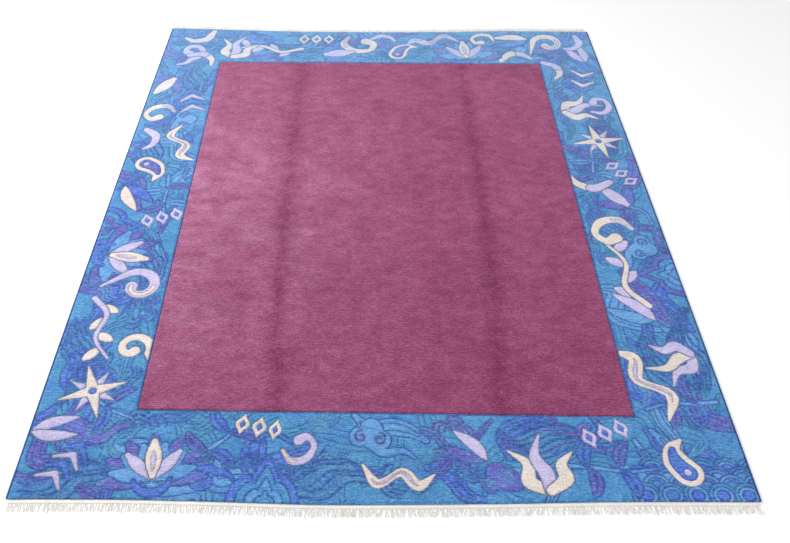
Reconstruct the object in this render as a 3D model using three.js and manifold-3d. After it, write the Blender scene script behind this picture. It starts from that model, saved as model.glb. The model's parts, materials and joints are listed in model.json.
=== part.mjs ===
import * as THREE from "three";
import { mergeVertices } from "three/addons/utils/BufferGeometryUtils.js";
import Module from "manifold-3d";

const wasm = await Module();
wasm.setup();

// A hand-knotted rug lying open on a floor: millimetres, +Z up, +Y towards the far end.
// Its underside is flat at Z 0. A nominal rectangle carries the sections, and two short
// tables say where each nominal line really lies, because the rug is slightly out of square.

// Driving dimensions
const HALF_WIDTH = 1250;
const HALF_LENGTH = 1500;
const FIELD_HALF_WIDTH = 905;
const FIELD_HALF_LENGTH = 1155;
const PILE_HEIGHT = 12;
const GAP = 0.3;

// Edge of the pile, rounded over between its wall and the flat top
const EDGE_DROP = 4;
const EDGE_SHOULDER = { inset: 3, drop: 1.2 };
const EDGE_TOP_INSET = 9;

// Groove carved in the pile between the field and the border
const GROOVE_HALF_WIDTH = 4;
const GROOVE_DEPTH = 3;

// Two soft creases run the length of the rug, where it was folded in three
const CREASE_NOMINAL = { left: -460, right: 450 };
const CREASE_PROFILE = [
  { offset: -95, height: 0 },
  { offset: -55, height: 0.9 },
  { offset: -26, height: -1.6 },
  { offset: 0, height: -3.2 },
  { offset: 24, height: -1.9 },
  { offset: 52, height: 0.6 },
  { offset: 90, height: 0 },
];

// Lines that run the length, at sections along it; the depths scale the two creases
const LENGTHWISE = [
  { along: -1500, left: -1253, fieldLeft: -898, creaseLeft: -424, creaseRight: 412,
    fieldRight: 899, right: 1254, depthLeft: 0.35, depthRight: 0.3 },
  { along: -1100, left: -1255, fieldLeft: -902, creaseLeft: -431, creaseRight: 421,
    fieldRight: 900, right: 1256, depthLeft: 0.75, depthRight: 0.7 },
  { along: -780, left: -1256, fieldLeft: -904, creaseLeft: -449, creaseRight: 439,
    fieldRight: 901, right: 1257, depthLeft: 0.9, depthRight: 0.8 },
  { along: -340, left: -1256, fieldLeft: -908, creaseLeft: -467, creaseRight: 458,
    fieldRight: 902, right: 1257, depthLeft: 1, depthRight: 1 },
  { along: 350, left: -1254, fieldLeft: -913, creaseLeft: -471, creaseRight: 455,
    fieldRight: 903, right: 1256, depthLeft: 0.85, depthRight: 1.1 },
  { along: 1010, left: -1250, fieldLeft: -918, creaseLeft: -466, creaseRight: 449,
    fieldRight: 903, right: 1252, depthLeft: 0.7, depthRight: 0.7 },
  { along: 1500, left: -1246, fieldLeft: -922, creaseLeft: -460, creaseRight: 446,
    fieldRight: 904, right: 1248, depthLeft: 0.35, depthRight: 0.3 },
];

// Lines that run across, at sections over the width
const CROSSWISE = [
  { across: -1250, near: -1487, fieldNear: -1143, fieldFar: 1117, far: 1485 },
  { across: -900, near: -1489, fieldNear: -1148, fieldFar: 1125, far: 1480 },
  { across: -600, near: -1497, fieldNear: -1153, fieldFar: 1132, far: 1474 },
  { across: -250, near: -1509, fieldNear: -1158, fieldFar: 1140, far: 1480 },
  { across: 60, near: -1510, fieldNear: -1163, fieldFar: 1146, far: 1489 },
  { across: 400, near: -1508, fieldNear: -1168, fieldFar: 1154, far: 1506 },
  { across: 750, near: -1503, fieldNear: -1173, fieldFar: 1162, far: 1528 },
  { across: 1250, near: -1505, fieldNear: -1180, fieldFar: 1173, far: 1543 },
];

// Overcast side edges: section of the wound cord, as distance out from the pile's wall and height
const BINDING_SECTION = [
  { out: 0, up: 1.2 },
  { out: 1.6, up: 0 },
  { out: 6.4, up: 0 },
  { out: 8.2, up: 2 },
  { out: 8.6, up: 4.4 },
  { out: 7.3, up: 7 },
  { out: 4.6, up: 8.2 },
  { out: 1.8, up: 7.6 },
  { out: 0, up: 6.2 },
];
const BINDING_END_INSET = 1;

// Woven end bands and their fringe
const BAND_WIDTH = 13;
const BAND_THICKNESS = 3;
const STRANDS_PER_END = 148;
const STRAND_END_MARGIN = 5;
const STRAND_ROOT_DEPTH = 4;
const STRAND_LENGTH = 30;
const STRAND_LENGTH_SPREAD = 4;
const STRAND_LEAN = 5;
const STRAND_SECTIONS = [
  { share: 0, width: 3.4, height: 2.4 },
  { share: 0.5, width: 3, height: 2.2 },
  { share: 1, width: 1.7, height: 1.3 },
];

// Nominal lines of the mesh over the pile, from the left edge and from the near end
const EDGE_LINES = [0, EDGE_SHOULDER.inset, EDGE_TOP_INSET];
const GROOVE_LINES = [-GROOVE_HALF_WIDTH, 0, GROOVE_HALF_WIDTH];
const BORDER_SHARES = [0.33, 0.66];
const MIDDLE_COLUMNS = [-790, -670, -260, -130, 0, 130, 250, 650, 780];
const MIDDLE_ROWS = 13;

const MATERIALS = {
  pile: new THREE.MeshStandardMaterial({ color: 0x9c567c, roughness: 0.95, metalness: 0 }),
  overcasting: new THREE.MeshStandardMaterial({ color: 0x2f5fa8, roughness: 0.9, metalness: 0 }),
  cotton: new THREE.MeshStandardMaterial({ color: 0xf2efe8, roughness: 0.95, metalness: 0 }),
};

// A table's row at any place along its key, by a smooth curve through the rows
function tableRow(table, key, at) {
  const last = table.length - 2;
  let index = 0;
  while (index < last && at > table[index + 1][key]) index += 1;
  const [a, b] = [table[index], table[index + 1]];
  const before = table[Math.max(index - 1, 0)];
  const after = table[Math.min(index + 2, table.length - 1)];
  const span = b[key] - a[key];
  const t = THREE.MathUtils.clamp((at - a[key]) / span, 0, 1);
  const row = {};
  for (const name of Object.keys(a)) {
    const slopeA = (b[name] - before[name]) / (b[key] - before[key]);
    const slopeB = (after[name] - a[name]) / (after[key] - a[key]);
    row[name] = (2 * t ** 3 - 3 * t ** 2 + 1) * a[name] + (t ** 3 - 2 * t ** 2 + t) * span * slopeA
      + (3 * t ** 2 - 2 * t ** 3) * b[name] + (t ** 3 - t ** 2) * span * slopeB;
  }
  return row;
}

// Straight-line interpolation through pairs of matching values
function between(at, from, to) {
  let index = 0;
  while (index < from.length - 2 && at > from[index + 1]) index += 1;
  const t = (at - from[index]) / (from[index + 1] - from[index]);
  return THREE.MathUtils.lerp(to[index], to[index + 1], t);
}

// Where a nominal place of the rug really lies
function layOut(across, along) {
  const line = tableRow(LENGTHWISE, "along", along);
  const x = between(
    across,
    [-HALF_WIDTH, -FIELD_HALF_WIDTH, CREASE_NOMINAL.left, CREASE_NOMINAL.right, FIELD_HALF_WIDTH, HALF_WIDTH],
    [line.left, line.fieldLeft, line.creaseLeft, line.creaseRight, line.fieldRight, line.right],
  );
  const end = tableRow(CROSSWISE, "across", x);
  const y = between(
    along,
    [-HALF_LENGTH, -FIELD_HALF_LENGTH, FIELD_HALF_LENGTH, HALF_LENGTH],
    [end.near, end.fieldNear, end.fieldFar, end.far],
  );
  return new THREE.Vector2(x, y);
}

function edgeDrop(inset) {
  return between(inset, [0, EDGE_SHOULDER.inset, EDGE_TOP_INSET, HALF_LENGTH], [EDGE_DROP, EDGE_SHOULDER.drop, 0, 0]);
}

function grooveDrop(across, along) {
  const outside = Math.max(Math.abs(across) - FIELD_HALF_WIDTH, Math.abs(along) - FIELD_HALF_LENGTH);
  return Math.max(0, 1 - Math.abs(outside) / GROOVE_HALF_WIDTH) * GROOVE_DEPTH;
}

function creaseRise(across, along) {
  const line = tableRow(LENGTHWISE, "along", along);
  const offsets = CREASE_PROFILE.map((point) => point.offset);
  const heights = CREASE_PROFILE.map((point) => point.height);
  const rise = (offset) => {
    const inside = offset > offsets[0] && offset < offsets[offsets.length - 1];
    return inside ? between(offset, offsets, heights) : 0;
  };
  return rise(across - CREASE_NOMINAL.left) * line.depthLeft
    + rise(across - CREASE_NOMINAL.right) * line.depthRight;
}

function pileTop(across, along) {
  const inset = Math.min(HALF_WIDTH - Math.abs(across), HALF_LENGTH - Math.abs(along));
  return PILE_HEIGHT - edgeDrop(inset) - grooveDrop(across, along) + creaseRise(across, along);
}

// Nominal lines from an edge to the middle of the field, mirrored about the middle
function mirroredLines(half, fieldHalf, middle) {
  const edge = EDGE_LINES.map((inset) => half - inset);
  const border = BORDER_SHARES.map((share) => THREE.MathUtils.lerp(half, fieldHalf, share));
  const groove = GROOVE_LINES.map((offset) => fieldHalf - offset);
  const outer = [...edge, ...border, ...groove];
  return [...outer, ...outer.map((value) => -value), ...middle].sort((a, b) => a - b);
}

const CREASE_COLUMNS = Object.values(CREASE_NOMINAL).flatMap(
  (line) => CREASE_PROFILE.map((point) => line + point.offset),
);
const COLUMNS = mirroredLines(HALF_WIDTH, FIELD_HALF_WIDTH, [...MIDDLE_COLUMNS, ...CREASE_COLUMNS]);
const MIDDLE_ROW_LINES = Array.from({ length: MIDDLE_ROWS }, (_, index) => (
  THREE.MathUtils.lerp(-FIELD_HALF_LENGTH, FIELD_HALF_LENGTH, (index + 1) / (MIDDLE_ROWS + 1))
));
const ROWS = mirroredLines(HALF_LENGTH, FIELD_HALF_LENGTH, MIDDLE_ROW_LINES);

function indexedGeometry(points, triangles) {
  const geometry = new THREE.BufferGeometry();
  geometry.setAttribute("position", new THREE.Float32BufferAttribute(points.flat(), 3));
  geometry.setIndex(triangles.flat());
  return geometry;
}

// The pile and its foundation: a shaped top, upright walls and a flat underside
function rugGeometry() {
  const points = [];
  const topIndex = ROWS.map(() => []);
  const baseIndex = ROWS.map(() => []);
  const [lastColumn, lastRow] = [COLUMNS.length - 1, ROWS.length - 1];
  ROWS.forEach((along, row) => {
    COLUMNS.forEach((across, column) => {
      const place = layOut(across, along);
      topIndex[row][column] = points.push([place.x, place.y, pileTop(across, along)]) - 1;
      const onRim = row === 0 || row === lastRow || column === 0 || column === lastColumn;
      if (onRim) baseIndex[row][column] = points.push([place.x, place.y, 0]) - 1;
    });
  });
  const triangles = [];
  const quad = (a, b, c, d) => triangles.push([a, b, c], [a, c, d]);
  for (let row = 0; row < lastRow; row += 1) {
    const [top, nextTop, base, nextBase] = [topIndex[row], topIndex[row + 1], baseIndex[row], baseIndex[row + 1]];
    for (let column = 0; column < lastColumn; column += 1) {
      quad(top[column], top[column + 1], nextTop[column + 1], nextTop[column]);
    }
    quad(base[0], top[0], nextTop[0], nextBase[0]);
    quad(nextBase[lastColumn], nextTop[lastColumn], top[lastColumn], base[lastColumn]);
    if (row > 0 && row < lastRow - 1) quad(base[0], nextBase[0], nextBase[lastColumn], base[lastColumn]);
  }
  for (let column = 0; column < lastColumn; column += 1) {
    const [near, far] = [baseIndex[0], baseIndex[lastRow]];
    quad(near[column], near[column + 1], topIndex[0][column + 1], topIndex[0][column]);
    quad(far[column + 1], far[column], topIndex[lastRow][column], topIndex[lastRow][column + 1]);
    triangles.push([near[column], baseIndex[1][0], near[column + 1]]);
    triangles.push([far[column + 1], baseIndex[lastRow - 1][0], far[column]]);
  }
  triangles.push([baseIndex[0][lastColumn], baseIndex[1][0], baseIndex[1][lastColumn]]);
  triangles.push([baseIndex[lastRow][lastColumn], baseIndex[lastRow - 1][lastColumn], baseIndex[lastRow - 1][0]]);
  return indexedGeometry(points, triangles);
}

// A closed body through rings of points that match in number, each ring convex
function loftGeometry(rings) {
  const count = rings[0].length;
  const points = rings.flat();
  const triangles = [];
  for (let ring = 0; ring < rings.length - 1; ring += 1) {
    for (let side = 0; side < count; side += 1) {
      const [a, b] = [ring * count + side, ring * count + ((side + 1) % count)];
      triangles.push([a, b, b + count], [a, b + count, a + count]);
    }
  }
  const last = (rings.length - 1) * count;
  for (let side = 1; side < count - 1; side += 1) {
    triangles.push([0, side + 1, side]);
    triangles.push([last, last + side, last + side + 1]);
  }
  return indexedGeometry(points, triangles);
}

// Overcast cord along one long side; sign is -1 on the left and 1 on the right
function bindingGeometry(sign) {
  const section = sign > 0 ? BINDING_SECTION : [...BINDING_SECTION].reverse();
  const endLines = [-HALF_LENGTH + BINDING_END_INSET, HALF_LENGTH - BINDING_END_INSET];
  const lines = [endLines[0], ...ROWS.slice(1, -1), endLines[1]];
  const rings = lines.map((along) => {
    const wall = layOut(sign * HALF_WIDTH, along);
    return section.map((point) => [wall.x + sign * (GAP + point.out), wall.y, point.up]);
  });
  return loftGeometry(rings.reverse());
}

function solidOf(geometry) {
  const merged = mergeVertices(geometry);
  return new wasm.Manifold(new wasm.Mesh({
    numProp: 3,
    vertProperties: Float32Array.from(merged.attributes.position.array),
    triVerts: Uint32Array.from(merged.index.array),
  }));
}

function geometryOf(solid) {
  const mesh = solid.getMesh();
  const geometry = new THREE.BufferGeometry();
  geometry.setAttribute("position", new THREE.BufferAttribute(mesh.vertProperties, 3));
  geometry.setIndex(new THREE.BufferAttribute(mesh.triVerts, 1));
  return geometry;
}

// An even-handed spread between -1 and 1 that is the same on every build
function spread(index, salt) {
  const wave = Math.sin(index * 12.9898 + salt * 78.233) * 43758.5453;
  return (wave - Math.floor(wave)) * 2 - 1;
}

// Points of the pile's end wall; sign is -1 at the near end and 1 at the far end
function endLine(sign) {
  return COLUMNS.map((across) => layOut(across, sign * HALF_LENGTH));
}

// One strand of warp threads, three-sided, lying with its flat side on the floor
function strandGeometry(rootX, rootY, sign, index) {
  const length = STRAND_LENGTH + spread(index, 1 + sign) * STRAND_LENGTH_SPREAD;
  const lean = spread(index, 4 + sign) * STRAND_LEAN;
  const bend = spread(index, 7 + sign) * STRAND_LEAN * 0.5;
  const rings = STRAND_SECTIONS.map(({ share, width, height }) => {
    const x = rootX + lean * share + bend * Math.sin(Math.PI * share);
    const y = rootY + sign * (length * share - STRAND_ROOT_DEPTH * (1 - share));
    return [[x - width / 2, y, 0], [x + width / 2, y, 0], [x, y, height]];
  });
  return loftGeometry(sign > 0 ? rings.reverse() : rings);
}

// A woven band along one end with the strands of its fringe fused to it
function fringeGeometry(sign) {
  const wall = endLine(sign);
  const bandRings = wall.map(({ x, y }) => {
    const inner = y + sign * GAP;
    const outer = inner + sign * BAND_WIDTH;
    const [low, high] = sign > 0 ? [inner, outer] : [outer, inner];
    return [[x, low, 0], [x, high, 0], [x, high, BAND_THICKNESS], [x, low, BAND_THICKNESS]];
  });
  let solid = solidOf(loftGeometry(bandRings));
  const xs = wall.map((point) => point.x);
  const ys = wall.map((point) => point.y);
  const firstX = xs[0] + STRAND_END_MARGIN;
  const lastX = xs[xs.length - 1] - STRAND_END_MARGIN;
  for (let index = 0; index < STRANDS_PER_END; index += 1) {
    const x = THREE.MathUtils.lerp(firstX, lastX, index / (STRANDS_PER_END - 1));
    const y = between(x, xs, ys) + sign * (GAP + BAND_WIDTH);
    solid = solid.add(solidOf(strandGeometry(x, y, sign, index)));
  }
  return geometryOf(solid);
}

const rug = new THREE.Group();

function addPiece(name, geometry, material) {
  const mesh = new THREE.Mesh(geometry, material);
  mesh.name = name;
  rug.add(mesh);
}

addPiece("rug", rugGeometry(), MATERIALS.pile);
addPiece("side_binding_left", bindingGeometry(-1), MATERIALS.overcasting.clone());
addPiece("side_binding_right", bindingGeometry(1), MATERIALS.overcasting.clone());
addPiece("fringe_near", fringeGeometry(-1), MATERIALS.cotton.clone());
addPiece("fringe_far", fringeGeometry(1), MATERIALS.cotton.clone());

// The origin is the middle of the whole footprint, on the floor
const footprint = new THREE.Box3().setFromObject(rug).getCenter(new THREE.Vector3());
rug.position.set(-footprint.x, -footprint.y, 0);

export default rug;
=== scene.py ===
import json
import math
import random
from functools import reduce

import bpy
import numpy as np
from bpy.props import FloatProperty, FloatVectorProperty, IntProperty, PointerProperty
from mathutils import Matrix, Vector

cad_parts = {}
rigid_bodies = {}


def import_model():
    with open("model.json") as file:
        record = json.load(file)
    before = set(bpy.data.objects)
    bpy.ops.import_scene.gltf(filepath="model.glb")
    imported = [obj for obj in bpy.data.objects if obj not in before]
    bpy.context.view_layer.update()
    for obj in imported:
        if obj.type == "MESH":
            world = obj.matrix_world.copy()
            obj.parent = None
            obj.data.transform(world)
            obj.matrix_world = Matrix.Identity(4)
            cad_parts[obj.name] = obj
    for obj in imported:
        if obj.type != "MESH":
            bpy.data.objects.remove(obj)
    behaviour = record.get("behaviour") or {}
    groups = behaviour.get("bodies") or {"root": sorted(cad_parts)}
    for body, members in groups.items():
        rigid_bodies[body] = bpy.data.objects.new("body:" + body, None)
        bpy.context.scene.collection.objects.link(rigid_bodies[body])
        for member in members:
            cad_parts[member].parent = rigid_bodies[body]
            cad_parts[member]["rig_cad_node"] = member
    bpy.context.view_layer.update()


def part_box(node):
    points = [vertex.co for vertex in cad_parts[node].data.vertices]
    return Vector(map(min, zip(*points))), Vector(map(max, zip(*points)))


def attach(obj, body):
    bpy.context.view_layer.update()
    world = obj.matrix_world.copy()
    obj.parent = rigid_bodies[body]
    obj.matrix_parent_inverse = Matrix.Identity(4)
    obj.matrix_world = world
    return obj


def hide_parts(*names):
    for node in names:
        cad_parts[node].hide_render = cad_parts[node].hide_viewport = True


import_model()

bl_info = {
    "name": "Carved Wool Rug",
    "version": (1, 0, 0),
    "blender": (4, 5, 0),
    "location": "View3D > Sidebar > Rug",
    "description": "A hand-knotted rug with a plain field, a carved border, overcast sides and fringed ends",
    "category": "Object",
}

# The rug's plan, in metres. A nominal rectangle carries every section, and two tables say
# where each nominal line really lies, because the rug is slightly out of square.
HALF_WIDTH = 1.25
HALF_LENGTH = 1.5
FIELD_HALF_WIDTH = 0.905
FIELD_HALF_LENGTH = 1.155
BORDER = 0.345
CREASE_LEFT = -0.46
CREASE_RIGHT = 0.45

# Columns: along, left edge, field left, crease left, crease right, field right, right edge,
# and how deep each of the two creases is
LENGTHWISE = np.array([
    (-1.500, -1.253, -0.898, -0.424, 0.412, 0.899, 1.254, 0.35, 0.30),
    (-1.100, -1.255, -0.902, -0.431, 0.421, 0.900, 1.256, 0.75, 0.70),
    (-0.780, -1.256, -0.904, -0.449, 0.439, 0.901, 1.257, 0.90, 0.80),
    (-0.340, -1.256, -0.908, -0.467, 0.458, 0.902, 1.257, 1.00, 1.00),
    (0.350, -1.254, -0.913, -0.471, 0.455, 0.903, 1.256, 0.85, 1.10),
    (1.010, -1.250, -0.918, -0.466, 0.449, 0.903, 1.252, 0.70, 0.70),
    (1.500, -1.246, -0.922, -0.460, 0.446, 0.904, 1.248, 0.35, 0.30),
])
# Columns: across, near edge, field near, field far, far edge
CROSSWISE = np.array([
    (-1.250, -1.487, -1.143, 1.117, 1.485),
    (-0.900, -1.489, -1.148, 1.125, 1.480),
    (-0.600, -1.497, -1.153, 1.132, 1.474),
    (-0.250, -1.509, -1.158, 1.140, 1.480),
    (0.060, -1.510, -1.163, 1.146, 1.489),
    (0.400, -1.508, -1.168, 1.154, 1.506),
    (0.750, -1.503, -1.173, 1.162, 1.528),
    (1.250, -1.505, -1.180, 1.173, 1.543),
])
# Columns: offset from the crease, rise of the pile there
CREASE_PROFILE = np.array([
    (-0.095, 0), (-0.055, 0.0009), (-0.026, -0.0016), (0, -0.0032),
    (0.024, -0.0019), (0.052, 0.0006), (0.090, 0),
])
# A crease also gets painted shade in its wool: how strongly, how far to either side, and, for the left one,
# how far beside the bottom of its trough the painted shade lies
CREASE_SHADE = 0.72
CREASE_SHADE_REACH = 0.04
LEFT_CREASE_SHADE_SHIFT = 0.016
# Columns: inset from the edge of the pile, drop below its top
EDGE_PROFILE = np.array([(0, 0.004), (0.003, 0.0012), (0.009, 0)])
# Slow unevenness of the pile's top, and how far in from the edge it is full
DRIFT = 0.00025
DRIFT_INSET = 0.05
# Half the width of the groove round the field, and how far a cut reaches beyond a motif's line
CUT_HALF_WIDTH = 0.0045

MILLIMETRE = 0.001
# Space between the pile's walls and the cords and bands beside them
GAP = 0.0003
BAND_WIDTH = 0.013
BINDING_END_INSET = 0.001
# Overcast cord: distance out from the pile's wall, and height
BINDING_SECTION = np.array([
    (0, 1.2), (1.6, 0.1), (6.2, 0.1), (8.0, 2), (8.5, 4.4), (7.3, 7), (4.6, 8.1), (1.8, 7.6), (0, 6.2),
]) * MILLIMETRE
# End band: distance out from the pile's wall as a share of its width, and height in millimetres
BAND_SECTION = np.array([
    (0, 0.1), (0.5, 0), (1, 0.2), (1, 1.9), (0.9, 2.6), (0.5, 2.9), (0.1, 2.7), (0, 2.2),
])


def srgb(red, green, blue):
    """A colour as a paint chart gives it, from 0 to 255, as the linear numbers that Blender holds."""
    shares = [value / 255 for value in (red, green, blue)]
    return tuple(v / 12.92 if v <= 0.04045 else ((v + 0.055) / 1.055) ** 2.4 for v in shares)


def measure(name, about, default, least, most):
    """A length in metres, with its least and most."""
    return FloatProperty(name=name, description=about, unit="LENGTH", default=default, min=least, max=most)


def yarn(name, red, green, blue, about):
    """A colour of yarn, as a paint chart gives it."""
    return FloatVectorProperty(
        name=name, description=about, subtype="COLOR", size=3, min=0, max=1, default=srgb(red, green, blue)
    )


class RugSizes(bpy.types.PropertyGroup):
    """Sizes that a user would change."""

    pile_height: measure("Pile height", "Top of the pile above the floor", 0.012, 0.006, 0.02)
    back_thickness: measure("Back thickness", "Woven foundation under the pile", 0.003, 0.001, 0.005)
    outline_groove: measure("Outline groove", "Depth of the groove carved round the field", 0.003, 0, 0.005)
    carving_depth: measure("Carving depth", "Depth of the cuts round the border's motifs", 0.0026, 0, 0.005)
    contour_width: measure("Contour width", "Width of the yarn line round a motif", 0.005, 0.002, 0.012)
    border_cells: IntProperty(
        name="Border cells", description="Mesh cells across the border", default=96, min=24, max=110
    )
    field_cell: measure("Field cell", "Mesh cell of the plain field", 0.01, 0.006, 0.05)
    back_cell: measure("Back cell", "Mesh cell of the woven back", 0.011, 0.01, 0.05)
    fringe_length: measure("Fringe length", "Length of the strands beyond the end band", 0.03, 0.01, 0.034)
    strands: IntProperty(
        name="Strands", description="Strands in the fringe of each end", default=385, min=100, max=400
    )


class RugYarns(bpy.types.PropertyGroup):
    """Colours of the dyed wool and of the cotton."""

    field: yarn("Field", 137, 66, 103, "Rose purple of the plain field")
    teal: yarn("Teal", 69, 127, 176, "Ground of the border")
    sky: yarn("Sky", 94, 143, 196, "Lighter shapes of the border")
    royal: yarn("Royal", 74, 96, 188, "Darker shapes of the border")
    violet: yarn("Violet", 94, 80, 166, "Violet shapes of the border")
    line: yarn("Contour", 58, 88, 168, "Line round each motif")
    # The rim yarn is painted shade: a line round the light shapes where their carved edges fall in shadow
    rim: yarn("Rim", 112, 110, 150, "Fine line round the light shapes")
    cream: yarn("Cream", 208, 198, 191, "Light highlights")
    lilac: yarn("Lilac", 182, 175, 210, "Lilac highlights")
    overcasting: yarn("Overcasting", 54, 92, 160, "Yarn wound round the long edges")
    cotton: yarn("Cotton", 238, 234, 228, "Warp ends and end bands")


def sizes():
    return bpy.context.scene.rug_sizes


def yarns():
    return bpy.context.scene.rug_yarns


# Plan and relief

def table_at(table, places):
    """Rows of a table at any places along its first column, by a smooth curve through its rows."""
    key = table[:, 0]
    last = len(table) - 1
    index = np.clip(np.searchsorted(key, places) - 1, 0, last - 1)
    a, b = table[index], table[index + 1]
    before, after = table[np.maximum(index - 1, 0)], table[np.minimum(index + 2, last)]
    span = (b - a)[:, :1]
    t = np.clip((places[:, None] - a[:, :1]) / span, 0, 1)
    slope_a = (b - before) / (b - before)[:, :1]
    slope_b = (after - a) / (after - a)[:, :1]
    return (
        (2 * t ** 3 - 3 * t ** 2 + 1) * a + (t ** 3 - 2 * t ** 2 + t) * span * slope_a
        + (3 * t ** 2 - 2 * t ** 3) * b + (t ** 3 - t ** 2) * span * slope_b
    )


def between(at, knots, values):
    """Straight-line interpolation where every place has its own values at the shared knots."""
    knots = np.asarray(knots)
    index = np.clip(np.searchsorted(knots, at) - 1, 0, len(knots) - 2)
    row = np.arange(len(at))
    t = (at - knots[index]) / (knots[index + 1] - knots[index])
    return values[row, index] * (1 - t) + values[row, index + 1] * t


def plan(places):
    """Where nominal places really lie, before the rug is moved to the frame's origin."""
    across, along = places[:, 0], places[:, 1]
    lines = table_at(LENGTHWISE, along)[:, 1:7]
    knots = (-HALF_WIDTH, -FIELD_HALF_WIDTH, CREASE_LEFT, CREASE_RIGHT, FIELD_HALF_WIDTH, HALF_WIDTH)
    x = between(across, knots, lines)
    ends = table_at(CROSSWISE, x)[:, 1:5]
    y = between(along, (-HALF_LENGTH, -FIELD_HALF_LENGTH, FIELD_HALF_LENGTH, HALF_LENGTH), ends)
    return np.stack([x, y], 1)


def rim_of_plan():
    """Middle of the rug's own outline, in the tables' coordinates."""
    side = np.linspace(-1, 1, 200)
    corners = [(side * HALF_WIDTH, np.full(200, sign * HALF_LENGTH)) for sign in (-1, 1)]
    corners += [(np.full(200, sign * HALF_WIDTH), side * HALF_LENGTH) for sign in (-1, 1)]
    points = plan(np.vstack([np.stack(pair, 1) for pair in corners]))
    return (points.min(0) + points.max(0)) / 2


LOW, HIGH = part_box("rug")
SHIFT = np.array([(LOW.x + HIGH.x) / 2, (LOW.y + HIGH.y) / 2]) - rim_of_plan()


def on_floor(places):
    """Real places of nominal ones, in the row frame."""
    return plan(places) + SHIFT


def crease_rise(across, along):
    """Height of the two soft creases, and how strongly their painted shade darkens the wool."""
    depths = table_at(LENGTHWISE, along)[:, 7:9]
    rise, crease_shade = np.zeros(len(across)), np.zeros(len(across))
    creases = ((CREASE_LEFT, depths[:, 0], LEFT_CREASE_SHADE_SHIFT), (CREASE_RIGHT, depths[:, 1], 0))
    for line, depth, lean in creases:
        offset = across - line
        inside = (offset > CREASE_PROFILE[0, 0]) & (offset < CREASE_PROFILE[-1, 0])
        height = table_at(CREASE_PROFILE, np.where(inside, offset, CREASE_PROFILE[0, 0]))[:, 1]
        rise += np.where(inside, height * depth, 0)
        crease_shade += CREASE_SHADE * np.exp(-((offset - lean) / CREASE_SHADE_REACH) ** 2) * np.sqrt(depth)
    return rise, crease_shade


def outline_cut(across, along):
    """How deep the groove between field and border is, from 0 to 1."""
    outside = np.maximum(np.abs(across) - FIELD_HALF_WIDTH, np.abs(along) - FIELD_HALF_LENGTH)
    return np.clip(1 - np.abs(outside) / CUT_HALF_WIDTH, 0, 1)


def pile_top(places):
    """Height of the pile over nominal places."""
    across, along = places[:, 0], places[:, 1]
    inset = np.minimum(HALF_WIDTH - np.abs(across), HALF_LENGTH - np.abs(along))
    drop = np.interp(inset, EDGE_PROFILE[:, 0], EDGE_PROFILE[:, 1])
    drift = DRIFT * (np.sin(9 * across + 4 * along) + np.sin(5 * across - 11 * along + 1))
    settled = np.clip(inset / DRIFT_INSET, 0, 1)
    return (
        sizes().pile_height - drop + crease_rise(across, along)[0] + drift * settled
        - sizes().outline_groove * outline_cut(across, along)
    )


# Paths and strokes of the carved motifs

def turned(points, degrees):
    c, s = math.cos(math.radians(degrees)), math.sin(math.radians(degrees))
    return np.asarray(points, float) @ np.array([[c, s], [-s, c]])


def arc(radius, start, end, centre=(0, 0), steps=14):
    a = np.radians(np.linspace(start, end, steps))
    return np.stack([centre[0] + radius * np.cos(a), centre[1] + radius * np.sin(a)], 1)


def spiral(outer, inner, start, sweep, steps=26):
    t = np.linspace(0, 1, steps)
    a = np.radians(start + sweep * t)
    radius = outer + (inner - outer) * t
    return np.stack([radius * np.cos(a), radius * np.sin(a)], 1)


def curve(*points, steps=6, size=1):
    """A smooth path through a few points, given in shares of a size."""
    p = np.asarray(points, float) * size
    p = np.vstack([2 * p[0] - p[1], p, 2 * p[-1] - p[-2]])
    t = np.linspace(0, 1, steps, endpoint=False)[:, None]
    stretches = [
        0.5 * (2 * b + (c - a) * t + (2 * a - 5 * b + 4 * c - d) * t ** 2 + (3 * b - a - 3 * c + d) * t ** 3)
        for a, b, c, d in zip(p, p[1:], p[2:], p[3:])
    ]
    return np.vstack([*stretches, p[-2:-1]])


def even(path, width):
    return path, np.full(len(path), width / 2)


def thread(path):
    """A stroke so fine that only the contour laid round it shows."""
    return even(path, 0.001)


def swell(path, width, least=0.12, power=0.75):
    """A stroke that is full in its middle and thin at its ends."""
    t = np.linspace(0, 1, len(path))
    return path, width / 2 * np.maximum(np.sin(np.pi * t) ** power, least)


def brushed(path, width, *shares):
    """A stroke whose width follows shares, set evenly along it."""
    t = np.linspace(0, 1, len(path))
    return path, width / 2 * np.interp(t, np.linspace(0, 1, len(shares)), shares)


def disc(radius, at=(0, 0)):
    return np.array([at], float), np.array([radius])


def petals(size, count, start, end, reach, inner, width):
    """Leaf-shaped petals set round a middle, in shares of the motif's size."""
    spoke = np.stack([np.linspace(inner * size, reach * size, 9), np.zeros(9)], 1)
    return [
        swell(turned(spoke, angle), width * size, least=0.4, power=0.6)
        for angle in np.linspace(start, end, count)
    ]


def distance(places, path, half):
    """Signed distance from a stroke's outline, and the direction away from its middle line."""
    if len(path) == 1:
        path, half = np.vstack([path, path + 1e-6]), np.repeat(half, 2)
    start, run = path[:-1], np.diff(path, axis=0)
    rel = places[:, None, :] - start[None]
    t = np.clip((rel * run).sum(2) / np.maximum((run * run).sum(1), 1e-12), 0, 1)
    away = rel - t[..., None] * run
    length = np.sqrt((away ** 2).sum(2))
    value = length - (half[:-1] + t * np.diff(half))
    best = value.argmin(1)
    row = np.arange(len(places))
    away, length = away[row, best], length[row, best]
    return value[row, best], away / np.maximum(length, 1e-9)[:, None]


TONES = ("teal", "sky", "royal", "violet", "line", "rim", "cream", "lilac")
LIGHT_TONES = ("cream", "lilac")
# Width of the line of painted shade that rims the light shapes in place of a contour
SHADE_RIM_WIDTH = 0.0036


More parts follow.
